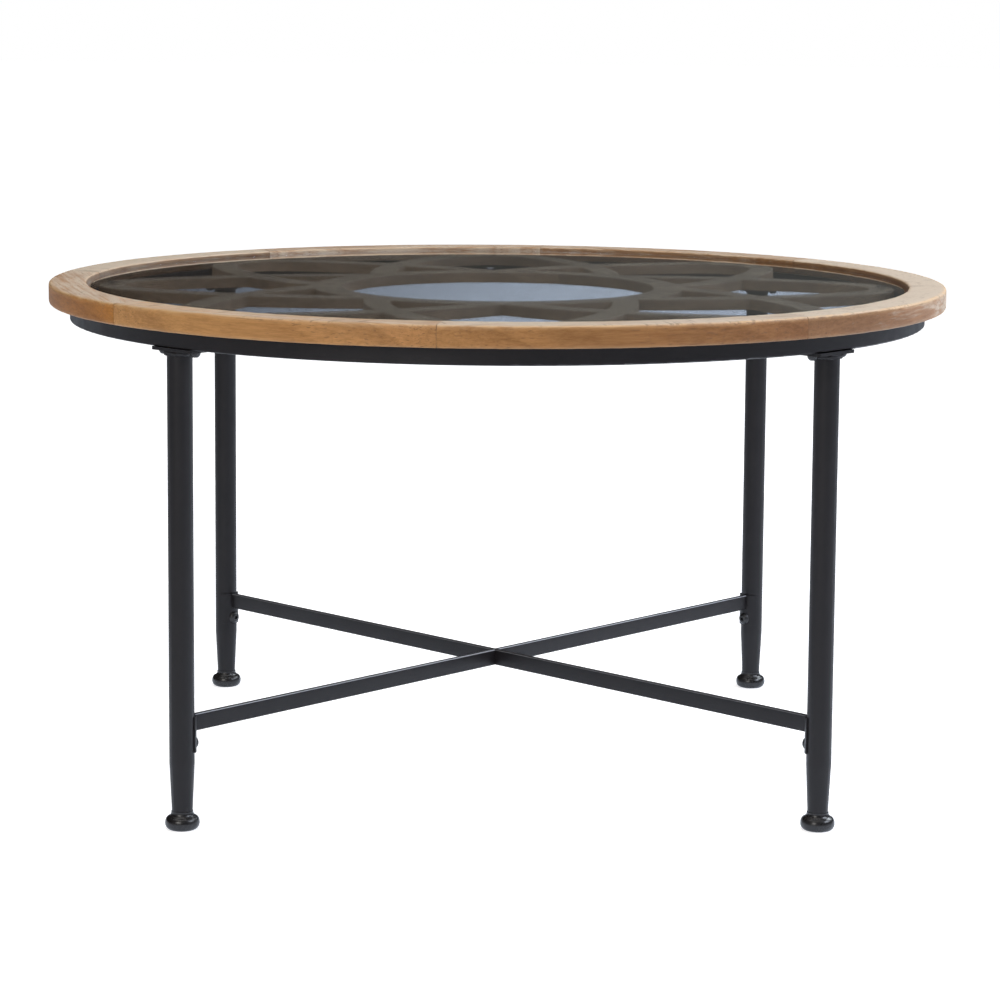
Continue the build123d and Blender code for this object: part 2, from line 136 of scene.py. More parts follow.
def add_floor():
    """Paper that shades the lamps' light, and glows where the camera or a gloss looks at it."""
    bpy.ops.object.select_all(action="DESELECT")
    bpy.ops.mesh.primitive_circle_add(vertices=FLOOR_SIDES, radius=FLOOR_RADIUS, fill_type="NGON")
    floor = bpy.context.object
    floor.name = "floor"
    paper = bpy.data.materials.new("floor_paper")
    paper.use_nodes = True
    tree = paper.node_tree
    tree.nodes.clear()
    path = node(tree, "LightPath")
    place = node(tree, "TexCoord")
    away = node(tree, "VectorMath", operation="LENGTH")
    put(tree, away, 0, (place, "Object"))
    plain = ramp(tree, (away, "Value"), GLOW_FROM, GLOW_TO, GLOW_NEAR, GLOW_FAR)
    gloss = ramp(tree, (away, "Value"), GLOSS_FROM, GLOSS_TO, GLOSS_NEAR, GLOSS_FAR)
    direct = calc(tree, "MULTIPLY", (path, "Is Camera Ray"), plain)
    mirrored = calc(tree, "MULTIPLY", (path, "Is Glossy Ray"), gloss)
    matt = node(tree, "BsdfDiffuse", Color=FLOOR_PAPER)
    glow = node(tree, "Emission")
    put(tree, glow, "Color", mixed(tree, (path, "Is Camera Ray"), FLOOR_BEYOND, FLOOR_SEEN))
    put(tree, glow, "Strength", calc(tree, "ADD", direct, mirrored))
    lit = node(tree, "AddShader")
    put(tree, lit, 0, (matt, 0))
    put(tree, lit, 1, (glow, 0))
    axes = node(tree, "SeparateXYZ")
    put(tree, axes, 0, (place, "Object"))
    beyond = node(tree, "Emission", Color=FLOOR_BEYOND)
    put(tree, beyond, "Strength", ramp(
        tree, (axes, "X"), BEYOND_FROM, BEYOND_TO, BEYOND_LEFT, BEYOND_RIGHT))
    both = node(tree, "MixShader")
    put(tree, both, 0, (path, "Is Transmission Ray"))
    put(tree, both, 1, (lit, 0))
    put(tree, both, 2, (beyond, 0))
    put(tree, node(tree, "OutputMaterial"), "Surface", (both, 0))
    floor.data.materials.append(paper)


def add_world():
    """The surround and the studio over it, a little brighter to the right."""
    world = bpy.data.worlds.new("studio")
    bpy.context.scene.world = world
    world.use_nodes = True
    tree = world.node_tree
    tree.nodes.clear()
    place = node(tree, "TexCoord")
    axes = node(tree, "SeparateXYZ")
    put(tree, axes, 0, (place, "Generated"))
    edge = ramp(tree, (axes, "Z"), SURROUND_TOP, SURROUND_FADE)
    path = node(tree, "LightPath")
    right = ramp(tree, (axes, "X"), -SURROUND_HALF_WIDTH, SURROUND_HALF_WIDTH, smooth=False)
    gloss = mixed(tree, right, SURROUND_LEFT, SURROUND_RIGHT)
    low = mixed(tree, (path, "Is Glossy Ray"), SURROUND_COLOUR, gloss)
    side = ramp(tree, (axes, "X"), -STUDIO_HALF_WIDTH, STUDIO_HALF_WIDTH)
    studio = mixed(tree, side, STUDIO_LEFT, STUDIO_RIGHT)
    sky = node(tree, "Background")
    put(tree, sky, "Color", mixed(tree, edge, low, studio))
    put(tree, node(tree, "OutputWorld"), "Surface", (sky, 0))


def add_lamp(name, place, aim, width, height, power, colour):
    """A soft box of this size in metres and power in watts, turned to what it is aimed at."""
    lamp = bpy.data.lights.new(name, "AREA")
    lamp.shape = "RECTANGLE"
    lamp.size, lamp.size_y = width, height
    lamp.energy = power
    lamp.color = colour
    stand = bpy.data.objects.new(name, lamp)
    stand.location = place
    stand.rotation_euler = (Vector(aim) - Vector(place)).to_track_quat("-Z", "Y").to_euler()
    bpy.context.scene.collection.objects.link(stand)


add_floor()
add_world()
add_lamp("right", place=(2.6, -0.7, 2.2), aim=(0, 0, 0.4), width=2.0, height=1.3, power=72.0,
         colour=(0.82, 0.88, 1.0))
add_lamp("rim_light", place=(2.3, 1.7, 2.2), aim=(0, 0, 0.2), width=1.2, height=1.2, power=44.0,
         colour=(0.86, 0.93, 1.0))
add_lamp("overhead", place=(-0.5, -0.3, 3.4), aim=(0, 0, 0.4), width=3.0, height=3.0, power=50.0,
         colour=(1.0, 0.985, 0.96))
add_lamp("front", place=(-1.8, -3.5, 2.0), aim=(0, 0, 0.4), width=1.8, height=1.8, power=54.0,
         colour=(1.0, 0.97, 0.93))


# ---------------------------------------------------------------- wooden rim
# Eight pieces of softwood, glued end to end with plain seams and turned to a ring. They are stained
# honey brown and varnished, the top and the inside are whitewashed and rubbed back, and the arrises
# are rounded by hand and rubbed through to paler wood. The pale line along the outer top arris is
# partly that rubbed wood and partly a painted highlight. The inside wall is darkened with painted
# shade, most on the pieces whose inner wall faces away from the lamps.

RIM_OUTER = 0.4572
RIM_INNER = 0.4190
RIM_LOW = 0.4755
RIM_HIGH = 0.4965
RIM_SEAM = -8.0                    # degrees, where the first piece starts
RIM_SPAN = 45.0                    # degrees, length of a piece
RIM_STEPS = 104                    # cuts along a piece
RIM_CUTS = ((0.03, 13), (0.01, 6))  # shortest edge of the section that is cut, and how often
RIM_ROUNDING = (("outer", "high", 0.0026), ("outer", "low", 0.0020),
                ("inner", "high", 0.0020), ("inner", "low", 0.0006))
RIM_ROUNDING_STEPS = 4
RIM_MIDDLE = (0.438, 0.486)        # distance from the table's axis, and height
RIM_SMOOTH = math.radians(40)
SEAM_BEVEL = 0.0001
SEAM_LINE = (0.0002, 0.0008)       # distance from a seam where its stain starts to fade and is gone
SEAM_STAIN = 0.22
SAME = 1e-5                        # metres within which two places are one
SAME_ANGLE = 0.01                  # and degrees
DENT_SIZE = 0.012
DENT_DETAIL = 3
DENT_DEPTH = 0.0009
FLAT_SHARE = 0.10                  # of the dents' depth, on the flat faces
# the pale arris line is partly rubbed-through wood and partly a painted highlight, strongest along the
# outer top arris, where the rounding would catch the light from above
ARRIS_LINE_WIDTH = 0.0034                 # of the pale line along the outer top arris
ARRIS_LINE_FALL = 0.6                     # under 1, so that the line ends softly
WORN_WIDTH = 0.0040                # of the dented strip along every arris
WORN_SHARE = 0.35                  # of the pale line, along the other arrises

# figure of the wood: waves to a metre along and across the board, detail and roughness of each
WANDER = ((4.0, 16.0, 16.0), 2.0, 0.5)
FIBRE = ((26.0, 400.0, 400.0), 5.0, 0.78)
CHECKS = ((70.0, 620.0, 620.0), 2.0, 0.6)
STREAKS = ((7.0, 230.0, 230.0), 3.0, 0.62)
BLOTCH = ((13.0, 32.0, 32.0), 3.0, 0.55)
TEETH = ((260.0, 13.0, 90.0), 2.0, 0.5)
WANDER_REACH = 0.012
RING_STEP = 0.0042                 # from one growth ring to the next
RING_LENGTH = 0.035                # how much slower the rings change along the board than across
RING_UNEVEN = (90.0, 3.0)          # waves to a metre, and the most rings that one is shifted by
RING_RISE = (0.25, 0.90)           # share of a growth ring over which it darkens
RING_FALL = (0.92, 1.0)            # and over which the next one starts
LOG_DEGREES = 20.0                 # round the rim, for a metre along the log

# from where to where in a noise its mark grows from none to full
NOISE_RANGE = (0.30, 0.70)
FIBRE_RANGE = (0.28, 0.72)
CHECK_RANGE = (0.58, 0.70)
CHECK_PATCHES = (0.32, 0.58)
TEETH_RANGE = (0.57, 0.66)
TEETH_PATCHES = (0.44, 0.60)

# paint and wear
SIDE_TO_TOP = (0.25, 0.85)         # how far a face looks up, where the side ends and the top starts
INSIDE_TO_OUT = (RIM_INNER + 0.001, RIM_INNER + 0.004)
PAINT_SHARES = (0.30, 0.40, 0.30)  # how much the fibres, streaks and blotches hold the paint
PAINT_THIN, PAINT_THICK = -0.40, 0.36
PAINT_MOST = 0.94
LATE_SHARE, FIBRE_SHARE = 0.24, 0.50
PALE_GROWTH = (1.28, 1.32, 1.40, 1.0)
DEEP_GROWTH = (0.55, 0.47, 0.37, 1.0)
BLOTCH_TONES = (0.86, 1.12)
ARRIS_LINE_STRENGTH = (0.35, 0.95)
SAW_MARKS = (0.10, 0.46)           # how dark, on the sides and on top
CHECK_MARKS = 0.55
VARNISH_GLOSS = 0.32
VARNISH_ROUGH, PAINT_ROUGH = 0.44, 0.70
RELIEF_DEPTH = 0.0003
RELIEF_STRENGTH = 0.30
MARK_RELIEF = 2.5                  # how much deeper marks are than fibres
WHITEWASH = (0.64, 0.535, 0.42, 1.0)
# colour of the arris line: paler rubbed wood with a painted highlight
RUBBED_AND_HIGHLIT = (0.68, 0.43, 0.21, 1.0)
PORE = (0.15, 0.080, 0.040, 1.0)
SEAM = (0.13, 0.070, 0.035, 1.0)

# of each piece: stain at its two ends, paint left on its side at its two ends, on its top and on its
# inside (kept low where the inner wall is in shade, so it also paints that shade), how bright the
# painted shade leaves its inside wall, and where the heart of its log lay
RIM_PIECES = (
    ((0.40, 0.21, 0.105), (0.42, 0.22, 0.10), 0.66, 0.34, 0.92, 0.10, 0.34, 0.006, -0.030),
    ((0.38, 0.19, 0.082), (0.36, 0.18, 0.078), 0.10, 0.0, 0.54, 0.20, 0.48, -0.012, -0.041),
    ((0.36, 0.18, 0.078), (0.34, 0.17, 0.076), 0.0, 0.0, 0.52, 0.60, 0.64, 0.014, -0.026),
    ((0.36, 0.18, 0.080), (0.40, 0.20, 0.086), 0.0, -0.1, 0.95, 0.30, 0.32, -0.004, -0.048),
    ((0.40, 0.19, 0.080), (0.42, 0.168, 0.030), -0.3, -0.3, 0.64, 0.40, 0.42, 0.018, -0.034),
    ((0.55, 0.280, 0.096), (0.41, 0.195, 0.064), -0.3, -0.3, 0.52, 0.42, 0.60, -0.010, -0.028),
    ((0.42, 0.200, 0.064), (0.24, 0.105, 0.038), -0.3, -0.15, 0.74, 0.40, 0.60, 0.008, -0.044),
    ((0.24, 0.115, 0.048), (0.40, 0.205, 0.100), -0.14, 0.66, 0.96, 0.10, 0.36, -0.016, -0.032),
)


def group_of(name, ins, outs):
    """A new shader node group with these sockets, and its two end nodes."""
    made = bpy.data.node_groups.new(name, "ShaderNodeTree")
    for label, kind in ins:
        made.interface.new_socket(label, in_out="INPUT", socket_type="NodeSocket" + kind)
    for label, kind in outs:
        made.interface.new_socket(label, in_out="OUTPUT", socket_type="NodeSocket" + kind)
    return made, made.nodes.new("NodeGroupInput"), made.nodes.new("NodeGroupOutput")


def grey(tree, value):
    """A grey as bright as a value."""
    made = node(tree, "CombineColor")
    for name in ("Red", "Green", "Blue"):
        put(tree, made, name, value)
    return made, "Color"


def drawn_out(tree, vector, scale, detail, roughness):
    """Noise stretched along X, as fibres are."""
    along = node(tree, "Mapping")
    put(tree, along, "Vector", vector)
    along.inputs["Scale"].default_value = scale
    made = node(tree, "TexNoise", Scale=1.0, Detail=detail, Roughness=roughness)
    put(tree, made, "Vector", (along, 0))
    return made


def calc_vector(tree, operation, a, b):
    """A sum of two vectors, each fixed or a (node, socket) pair."""
    made = node(tree, "VectorMath", operation=operation)
    put(tree, made, 0, a)
    put(tree, made, 1, b)
    return made, "Vector"


def length(tree, vector):
    """How long a vector is."""
    made = node(tree, "VectorMath", operation="LENGTH")
    put(tree, made, 0, vector)
    return made, "Value"


def make_grain():
    """The figure of a board that runs along X, seen from the heart of its log."""
    tree, start, end = group_of(
        "wood_grain", [("Vector", "Vector")],
        [(name, "Float") for name in ("Rings", "Fibre", "Checks", "Streaks", "Blotch", "Saw")])
    board = (start, "Vector")
    wander = drawn_out(tree, board, *WANDER)
    aside = calc_vector(tree, "SUBTRACT", (wander, "Color"), (0.5, 0.5, 0.5))
    moved = calc_vector(tree, "ADD", board, calc_vector(tree, "MULTIPLY", aside, (WANDER_REACH,) * 3))

    far = length(tree, calc_vector(tree, "MULTIPLY", moved, (RING_LENGTH, 1.0, 1.0)))
    waves, most = RING_UNEVEN
    uneven = node(tree, "TexNoise", noise_dimensions="1D", Scale=waves, Detail=2.0)
    put(tree, uneven, "W", far)
    count = calc(tree, "DIVIDE", far, RING_STEP)
    phase = calc(tree, "FRACT", calc(tree, "ADD", count, calc(tree, "MULTIPLY", (uneven, 0), most)))
    rise = ramp(tree, phase, *RING_RISE)
    fall = ramp(tree, phase, *RING_FALL, 1.0, 0.0)
    put(tree, end, "Rings", calc(tree, "MULTIPLY", rise, fall))

    fibre = drawn_out(tree, moved, *FIBRE)
    put(tree, end, "Fibre", ramp(tree, (fibre, 0), *FIBRE_RANGE))
    streaks = drawn_out(tree, moved, *STREAKS)
    put(tree, end, "Streaks", ramp(tree, (streaks, 0), *NOISE_RANGE))
    blotch = drawn_out(tree, board, *BLOTCH)
    put(tree, end, "Blotch", ramp(tree, (blotch, 0), *NOISE_RANGE, smooth=False))
    checks = ramp(tree, (drawn_out(tree, moved, *CHECKS), 0), *CHECK_RANGE)
    there = ramp(tree, (blotch, 0), *CHECK_PATCHES)
    put(tree, end, "Checks", calc(tree, "MULTIPLY", checks, there))
    teeth = ramp(tree, (drawn_out(tree, board, *TEETH), 0), *TEETH_RANGE)
    there = ramp(tree, (blotch, 0), *TEETH_PATCHES)
    put(tree, end, "Saw", calc(tree, "MULTIPLY", teeth, there))
    return tree


def make_wash():
    """Thin white paint, rubbed back along the fibres: it stays in streaks and comes off in patches."""
    tree, start, end = group_of(
        "whitewash",
        [("Wood", "Color"), ("Paint", "Color"), ("Amount", "Float"), ("Fibre", "Float"),
         ("Streaks", "Float"), ("Blotch", "Float")],
        [("Color", "Color"), ("Cover", "Float")])
    kept = (start, "Amount")
    for label, share in zip(("Fibre", "Streaks", "Blotch"), PAINT_SHARES):
        kept = calc(tree, "ADD", kept, calc(tree, "MULTIPLY", (start, label), share))
    over = calc(tree, "SUBTRACT", kept, 1.0)
    cover = ramp(tree, over, PAINT_THIN, PAINT_THICK, 0.0, PAINT_MOST)
    put(tree, end, "Cover", cover)
    put(tree, end, "Color", mixed(tree, cover, (start, "Wood"), (start, "Paint")))
    return tree


def placed(tree, group):
    """A node group put into a material."""
    made = tree.nodes.new("ShaderNodeGroup")
    made.node_tree = group
    return made


GRAIN = make_grain()
WASH = make_wash()


def new_finish(name):
    """A new material, its node tree and its shader."""
    made = bpy.data.materials.new(name)
    made.use_nodes = True
    return made, made.node_tree, made.node_tree.nodes["Principled BSDF"]


def looks_up(tree):
    """How far the surface looks up: 1 on a level top, 0 on an upright side."""
    facing = node(tree, "SeparateXYZ")
    put(tree, facing, 0, (node(tree, "NewGeometry"), "Normal"))
    return facing, "Z"


def stained(tree, grain, stain):
    """Stained wood: the late growth, the fibres and the blotches darken the stain."""
    late = calc(tree, "MULTIPLY", (grain, "Rings"), LATE_SHARE)
    dark = calc(tree, "ADD", late, calc(tree, "MULTIPLY", (grain, "Fibre"), FIBRE_SHARE))
    pale = mixed(tree, 1.0, stain, PALE_GROWTH, "MULTIPLY")
    deep = mixed(tree, 1.0, stain, DEEP_GROWTH, "MULTIPLY")
    wood = mixed(tree, dark, pale, deep)
    uneven = ramp(tree, (grain, "Blotch"), 0.0, 1.0, *BLOTCH_TONES, smooth=False)
    return mixed(tree, 1.0, wood, grey(tree, uneven), "MULTIPLY")


def washed(tree, grain, wood, paint, amount):
    """The whitewash over stained wood, as its node."""
    wash = placed(tree, WASH)
    wash.inputs["Paint"].default_value = paint
    put(tree, wash, "Wood", wood)
    put(tree, wash, "Amount", amount)
    for label in ("Fibre", "Streaks", "Blotch"):
        put(tree, wash, label, (grain, label))
    return wash


def give_relief(tree, shader, height, strength, depth):
    """Raises the surface by a height that runs from 0 to 1."""
    bump = node(tree, "Bump", Strength=strength, Distance=depth)
    put(tree, bump, "Height", height)
    put(tree, shader, "Normal", (bump, 0))


def rim_finish(name, middle, start_stain, end_stain, start_wash, end_wash, top_wash, inside_wash_and_shade,
               painted_inside_shade, heart_y, heart_z):
    """Finish of one rim piece, whose middle lies in the direction `middle`, in degrees."""
    made, tree, shader = new_finish(name)
    shader.inputs["Specular IOR Level"].default_value = VARNISH_GLOSS
    turned = node(tree, "Mapping")
    put(tree, turned, "Vector", (node(tree, "TexCoord"), "Object"))
    turned.inputs["Rotation"].default_value = (0, 0, -math.radians(middle + 90))
    where = node(tree, "SeparateXYZ")
    put(tree, where, 0, (turned, 0))
    radius = length(tree, calc_vector(tree, "MULTIPLY", (turned, 0), (1.0, 1.0, 0.0)))
    half = RIM_MIDDLE[0] * math.sin(math.radians(RIM_SPAN / 2))
    run = ramp(tree, (where, "X"), -half, half, smooth=False)
    up = looks_up(tree)
    grain = placed(tree, GRAIN)
    heart = (middle / LOG_DEGREES, RIM_MIDDLE[0] - heart_y, -RIM_MIDDLE[1] - heart_z)
    put(tree, grain, "Vector", calc_vector(tree, "ADD", (turned, 0), heart))

    wood = stained(tree, grain, mixed(tree, run, start_stain + (1.0,), end_stain + (1.0,)))
    outside = ramp(tree, run, 0.0, 1.0, start_wash, end_wash, smooth=False)
    # the inside's whitewash is kept low on pieces whose inner wall is in shade, so it paints shade as
    # well as paint
    side = ramp(tree, radius, *INSIDE_TO_OUT, inside_wash_and_shade, outside)
    wash = washed(tree, grain, wood, WHITEWASH, ramp(tree, up, *SIDE_TO_TOP, side, top_wash))
    # painted shade: the inner wall is darkened, most on pieces whose wall faces away from the lamps
    depth = ramp(tree, radius, *INSIDE_TO_OUT, painted_inside_shade, 1.0)
    shade = grey(tree, ramp(tree, up, *SIDE_TO_TOP, depth, 1.0))
    wash_with_painted_shade = mixed(tree, 1.0, (wash, "Color"), shade, "MULTIPLY")
    # the pale arris line: rubbed wood and a painted highlight
    arris = node(tree, "Attribute", attribute_name="arris")
    through = ramp(tree, (grain, "Streaks"), 0.0, 1.0, *ARRIS_LINE_STRENGTH)
    rubbed_and_highlit = mixed(tree, calc(tree, "MULTIPLY", (arris, "Fac"), through), wash_with_painted_shade, RUBBED_AND_HIGHLIT)
    sawn = calc(tree, "MULTIPLY", (grain, "Saw"), ramp(tree, up, *SIDE_TO_TOP, *SAW_MARKS))
    marks = calc(tree, "MAXIMUM", calc(tree, "MULTIPLY", (grain, "Checks"), CHECK_MARKS), sawn)
    opened = mixed(tree, marks, rubbed_and_highlit, PORE)

    angle = calc(tree, "ARCTAN2", (where, "X"), calc(tree, "MULTIPLY", (where, "Y"), -1.0))
    aside = calc(tree, "SUBTRACT", math.radians(RIM_SPAN / 2), calc(tree, "ABSOLUTE", angle))
    seam = ramp(tree, aside, SEAM_LINE[0] / RIM_OUTER, SEAM_LINE[1] / RIM_OUTER, SEAM_STAIN, 0.0)
    put(tree, shader, "Base Color", mixed(tree, seam, opened, SEAM))
    put(tree, shader, "Roughness", ramp(
        tree, (wash, "Cover"), 0.0, 1.0, VARNISH_ROUGH, PAINT_ROUGH, smooth=False))
    relief = calc(tree, "SUBTRACT", (grain, "Fibre"), calc(tree, "MULTIPLY", marks, MARK_RELIEF))
    give_relief(tree, shader, relief, RELIEF_STRENGTH, RELIEF_DEPTH)
    return made


def edit(piece):
    """Opens a piece alone in edit mode, with nothing of it selected."""
    bpy.ops.object.select_all(action="DESELECT")
    piece.select_set(True)
    bpy.context.view_layer.objects.active = piece
    bpy.ops.object.mode_set(mode="EDIT")
    bpy.ops.mesh.select_mode(type="VERT")
    bpy.ops.mesh.select_all(action="DESELECT")


def pick(piece, kind, test):
    """Selects the vertices, edges or faces of the edited piece that pass a test."""
    bpy.ops.mesh.select_all(action="DESELECT")
    bpy.ops.mesh.select_mode(type=kind)
    shape = bmesh.from_edit_mesh(piece.data)
    for part in {"VERT": shape.verts, "EDGE": shape.edges, "FACE": shape.faces}[kind]:
        if test(part):
            part.select_set(True)
    shape.select_flush_mode()
    bmesh.update_edit_mesh(piece.data)


def done():
    """Closes edit mode."""
    bpy.ops.object.mode_set(mode="OBJECT")


def rim_outline():
    """The rim's section as a closed line in the XZ plane, its corners rounded."""
    bpy.ops.object.select_all(action="DESELECT")
    bpy.ops.mesh.primitive_plane_add(size=1, rotation=(math.pi / 2, 0, 0))
    piece = bpy.context.object
    bpy.ops.object.transform_apply(location=True, rotation=True, scale=True)
    edit(piece)
    bpy.ops.mesh.select_all(action="SELECT")
    bpy.ops.transform.resize(value=(RIM_OUTER - RIM_INNER, 1, RIM_HIGH - RIM_LOW))
    bpy.ops.transform.translate(value=((RIM_OUTER + RIM_INNER) / 2, 0, (RIM_HIGH + RIM_LOW) / 2))
    for side, level, radius in RIM_ROUNDING:
        x = RIM_OUTER if side == "outer" else RIM_INNER
        z = RIM_HIGH if level == "high" else RIM_LOW
        pick(piece, "VERT", lambda v: math.hypot(v.co.x - x, v.co.z - z) < SAME)
        bpy.ops.mesh.bevel(offset=radius, segments=RIM_ROUNDING_STEPS, affect="VERTICES")
    bpy.ops.mesh.select_mode(type="FACE")
    bpy.ops.mesh.select_all(action="SELECT")
    bpy.ops.mesh.delete(type="ONLY_FACE")
    for shortest, cuts in RIM_CUTS:
        pick(piece, "EDGE", lambda e: shortest < e.calc_length() < shortest * 3)
        bpy.ops.mesh.subdivide(number_cuts=cuts)
    done()
    return piece


def turn(degrees):
    """Turns what is selected about the table's axis."""
    bpy.ops.transform.rotate(value=-math.radians(degrees), orient_axis="Z", center_override=(0, 0, 0))


def at_angle(edge, degrees):
    """Whether an edge lies in the upright plane through the table's axis at this angle."""
    return all(abs(math.degrees(math.atan2(v.co.y, v.co.x)) - degrees) < SAME_ANGLE
               for v in edge.verts)


def rim_blank():
    """The section swept from one seam to the next, closed at both, with its wear and the painted
    highlight along its outer top arris marked on it.
    """
    piece = rim_outline()
    edit(piece)
    bpy.ops.mesh.select_all(action="SELECT")
    turn(RIM_SEAM)
    bpy.ops.mesh.spin(steps=RIM_STEPS, angle=-math.radians(RIM_SPAN), center=(0, 0, 0), axis=(0, 0, 1))
    for seam in (RIM_SEAM, RIM_SEAM + RIM_SPAN):
        pick(piece, "EDGE", lambda e: at_angle(e, seam))
        bpy.ops.mesh.edge_face_add()
        pick(piece, "EDGE", lambda e: at_angle(e, seam))
        bpy.ops.mesh.bevel(offset=SEAM_BEVEL, segments=1, affect="EDGES")
    bpy.ops.mesh.select_all(action="SELECT")
    bpy.ops.mesh.normals_make_consistent(inside=False)
    done()
    worn = piece.vertex_groups.new(name="worn")
    # the arris line: full on the outer top arris, as a painted highlight over rubbed wood, and weaker
    # on the other arrises, as wear
    rubbed_and_highlit = []
    for v in piece.data.vertices:
        r = math.hypot(v.co.x, v.co.y)
        out, up = abs(r - RIM_OUTER), abs(v.co.z - RIM_HIGH)
        top = max(0.0, 1.0 - max(out, up) / ARRIS_LINE_WIDTH)
        off_arris = max(min(out, abs(r - RIM_INNER)), min(up, abs(v.co.z - RIM_LOW)))
        rest = max(0.0, 1.0 - off_arris / WORN_WIDTH)
        rubbed_and_highlit.append(max(top ** ARRIS_LINE_FALL, WORN_SHARE * rest))
        worn.add([v.index], FLAT_SHARE + (1 - FLAT_SHARE) * rest, "REPLACE")
    piece.data.attributes.new("arris", "FLOAT", "POINT").data.foreach_set("value", rubbed_and_highlit)
    return piece


def rim_piece(blank, name, turned_by):
    """A copy of the blank, turned to its place, with its own dents."""
    bpy.ops.object.select_all(action="DESELECT")
    blank.select_set(True)
    bpy.context.view_layer.objects.active = blank
    bpy.ops.object.duplicate()
    piece = bpy.context.object
    piece.name = piece.data.name = name
    edit(piece)
    bpy.ops.mesh.select_all(action="SELECT")
    turn(turned_by)
    done()
    rub = piece.modifiers.new("worn", "DISPLACE")
    rub.texture = bpy.data.textures.get("dents") or bpy.data.textures.new("dents", "CLOUDS")
    rub.texture.noise_scale = DENT_SIZE
    rub.texture.noise_depth = DENT_DETAIL
    rub.texture_coords = "GLOBAL"
    rub.vertex_group = "worn"
    rub.mid_level = 1.0
    rub.strength = DENT_DEPTH
    bpy.ops.object.modifier_apply(modifier="worn")
    bpy.ops.object.shade_smooth_by_angle(angle=RIM_SMOOTH)
    return piece


blank = rim_blank()
for i, facts in enumerate(RIM_PIECES):
    rim = rim_piece(blank, f"rim_wood_{i + 1}", RIM_SPAN * i)
    rim.data.materials.append(rim_finish(f"rim_wood_{i + 1}", RIM_SEAM + RIM_SPAN * (i + 0.5), *facts))
    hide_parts(f"rim_segment_{i + 1}")
    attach(rim, "frame")
bpy.data.objects.remove(blank)


# ---------------------------------------------------------------- rosette panel
# Softwood staves glued side to side into one board, with eight crossing petals cut through it. It has
# the rim's whitewash, greyer, on every face, but little of it on the walls of the cut-outs, whose
# darker wood is painted shade. It lies on eight small brackets.

STAVE_WIDTH = 0.0875
STAVE_SHIFT = 0.031
STAVE_STEP = 3.1                   # metres from one board's place in its log to the next one's
STAVE_TONES = (0.84, 1.14)
STAVE_HEART = (0.0, 0.011, 0.440)  # the middle of every board's log
GLUE_WIDTH = (0.0002, 0.0007)      # distance from the seam where the line starts to fade and is gone
GLUE_STRENGTH = 0.7
PANEL_STAIN = (0.30, 0.21, 0.135, 1.0)
PANEL_PAINT = (0.43, 0.36, 0.275, 1.0)
PANEL_WASH = 0.66
PANEL_WALL_SHADED_WASH = 0.10
PANEL_SIDE_TO_TOP = (0.2, 0.8)
PANEL_CHECKS = 0.5
PANEL_ROUGH = (0.55, 0.78)         # bare, and painted
GLUE_LINE = (0.20, 0.14, 0.09, 1.0)


def make_staves():
    """Boards side by side along X: the place on each, its tone and the glue line between."""
    tree, start, end = group_of(
        "glued_staves", [("Vector", "Vector"), ("Width", "Float"), ("Shift", "Float")],
        [("Vector", "Vector"), ("Tone", "Float"), ("Line", "Float")])
    parts = node(tree, "SeparateXYZ")
    put(tree, parts, 0, (start, "Vector"))
    count = calc(tree, "DIVIDE", calc(tree, "ADD", (parts, "Y"), (start, "Shift")), (start, "Width"))
    stave = calc(tree, "FLOOR", count)
    across = calc(tree, "SUBTRACT", calc(tree, "FRACT", count), 0.5)
    chance = node(tree, "TexWhiteNoise", noise_dimensions="1D")
    put(tree, chance, "W", stave)
    own = node(tree, "CombineXYZ")
    put(tree, own, "X", calc(tree, "ADD", (parts, "X"), calc(tree, "MULTIPLY", stave, STAVE_STEP)))
    put(tree, own, "Y", calc(tree, "MULTIPLY", across, (start, "Width")))
    put(tree, own, "Z", (parts, "Z"))
    inward = calc(tree, "SUBTRACT", 0.5, calc(tree, "ABSOLUTE", across))
    edge = calc(tree, "MULTIPLY", inward, (start, "Width"))
    put(tree, end, "Vector", (own, 0))
    put(tree, end, "Tone", (chance, "Value"))
    put(tree, end, "Line", ramp(tree, edge, *GLUE_WIDTH, 1.0, 0.0))
    return tree


def panel_finish(name):
    """Whitewashed boards, glued side by side."""
    made, tree, shader = new_finish(name)
    staves = placed(tree, make_staves())
    put(tree, staves, "Vector", (node(tree, "TexCoord"), "Object"))
    staves.inputs["Width"].default_value = STAVE_WIDTH
    staves.inputs["Shift"].default_value = STAVE_SHIFT
    grain = placed(tree, GRAIN)
    put(tree, grain, "Vector", calc_vector(tree, "SUBTRACT", (staves, "Vector"), STAVE_HEART))
    # painted shade: the walls of the cut-outs keep little whitewash, so they show darker
    amount = ramp(tree, looks_up(tree), *PANEL_SIDE_TO_TOP, PANEL_WALL_SHADED_WASH, PANEL_WASH)
    wash = washed(tree, grain, stained(tree, grain, PANEL_STAIN), PANEL_PAINT, amount)
    tone = ramp(tree, (staves, "Tone"), 0.0, 1.0, *STAVE_TONES, smooth=False)
    shaded = mixed(tree, 1.0, (wash, "Color"), grey(tree, tone), "MULTIPLY")
    opened = mixed(tree, calc(tree, "MULTIPLY", (grain, "Checks"), PANEL_CHECKS), shaded, PORE)
    glued = calc(tree, "MULTIPLY", (staves, "Line"), GLUE_STRENGTH)
    put(tree, shader, "Base Color", mixed(tree, glued, opened, GLUE_LINE))
    put(tree, shader, "Roughness", ramp(tree, (wash, "Cover"), 0.0, 1.0, *PANEL_ROUGH, smooth=False))
    relief = calc(tree, "SUBTRACT", (grain, "Fibre"), (grain, "Checks"))
    give_relief(tree, shader, relief, RELIEF_STRENGTH, RELIEF_DEPTH)
    return made


def dress(name, finish):
    """Gives a part its finish in place of the plain one."""
    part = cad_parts[name]
    part.data.materials.clear()
    part.data.materials.append(finish)


dress("lattice_panel", panel_finish("panel_wood"))


